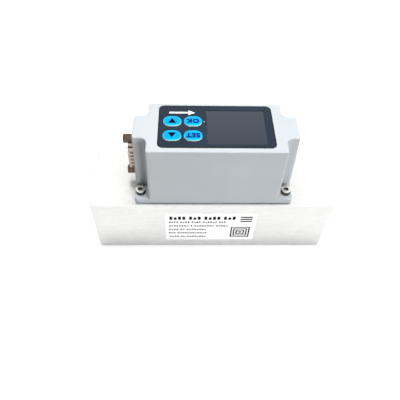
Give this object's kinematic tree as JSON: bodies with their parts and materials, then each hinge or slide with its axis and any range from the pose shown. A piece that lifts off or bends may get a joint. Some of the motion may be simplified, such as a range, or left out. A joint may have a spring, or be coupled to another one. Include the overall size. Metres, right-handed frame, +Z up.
{
  "type": "thermal gas mass flow meter",
  "caption": "In-line gas flow meter: a square aluminium body with a threaded port at each end, and a tapered housing with display, keys and a plug connector.",
  "frame": {"origin": "middle of the underside of the flow body", "axes": "+X along the gas stream from inlet to outlet, +Z up to the display, -Y out of the labelled side"},
  "size_m": [0.144, 0.044, 0.0865],
  "materials": {
    "bar_aluminium": "fine milled and brushed along the bar",
    "housing_plastic": "fine moulded texture, pale blue grey",
    "seal_rubber": "smooth moulded",
    "panel_black": "gloss panel film",
    "window_smoke": "smoked gloss window",
    "key_blue": "satin moulded keys",
    "stainless": "bright stainless screws",
    "plated_steel": "tin plated steel",
    "contact_gold": "gold plated contacts",
    "black_plastic": "moulded black plastic",
    "board_green": "solder mask on glass fibre",
    "mesh_steel": "fine stainless mesh",
    "comb_aluminium": "thin walled honeycomb",
    "blade_ceramic": "white sensor substrate",
    "chip_dark": "dark polished chip",
    "display_glass": "unlit display glass",
    "holder_white": "white display holder",
    "lens_clear": "clear light pipe",
    "label_film": "white label film"
  },
  "bodies": {
    "meter": {"flow_body": "bar_aluminium", "housing": "housing_plastic", "base_gasket": "seal_rubber", "sensor_o_ring": "seal_rubber", "fascia": "panel_black", "display_window": "window_smoke", "switch_cases": "black_plastic", "housing_screws": "stainless", "main_board_screws": "stainless", "display_board_screws": "stainless", "standoffs": "stainless", "inlet_retaining_ring": "stainless", "outlet_retaining_ring": "stainless", "straightener_spacer": "comb_aluminium", "outlet_spacer": "comb_aluminium", "flow_straightener": "comb_aluminium", "inlet_screen": "mesh_steel", "inner_screen": "mesh_steel", "outlet_screen": "mesh_steel", "sensor_plug": "black_plastic", "plug_screws": "plated_steel", "sensor_blade": "blade_ceramic", "sensor_chip": "chip_dark", "sensor_socket": "black_plastic", "connector_shell": "plated_steel", "jack_posts": "plated_steel", "jack_nuts": "plated_steel", "connector_insulator": "black_plastic", "connector_pins": "contact_gold", "connector_board": "board_green", "connector_link": "black_plastic", "main_board": "board_green", "display_board": "board_green", "board_link": "black_plastic", "display_holder": "holder_white", "display_glass": "display_glass", "status_lens": "lens_clear", "status_lamp": "holder_white", "rating_label": "label_film"},
    "up_key": {"up_key": "key_blue", "up_plunger": "black_plastic"},
    "down_key": {"down_key": "key_blue", "down_plunger": "black_plastic"},
    "menu_key": {"menu_key": "key_blue", "menu_plunger": "black_plastic"},
    "enter_key": {"enter_key": "key_blue", "enter_plunger": "black_plastic"}
  },
  "joints": [
    {"name": "up_press", "type": "slide", "parent": "meter", "child": "up_key", "axis": [0, 0, -1], "range_m": [0, 0.0004], "stiffness_N_per_m": 800, "springref_m": -0.0005},
    {"name": "down_press", "type": "slide", "parent": "meter", "child": "down_key", "axis": [0, 0, -1], "range_m": [0, 0.0004], "stiffness_N_per_m": 800, "springref_m": -0.0005},
    {"name": "menu_press", "type": "slide", "parent": "meter", "child": "menu_key", "axis": [0, 0, -1], "range_m": [0, 0.0004], "stiffness_N_per_m": 800, "springref_m": -0.0005},
    {"name": "enter_press", "type": "slide", "parent": "meter", "child": "enter_key", "axis": [0, 0, -1], "range_m": [0, 0.0004], "stiffness_N_per_m": 800, "springref_m": -0.0005}
  ]
}
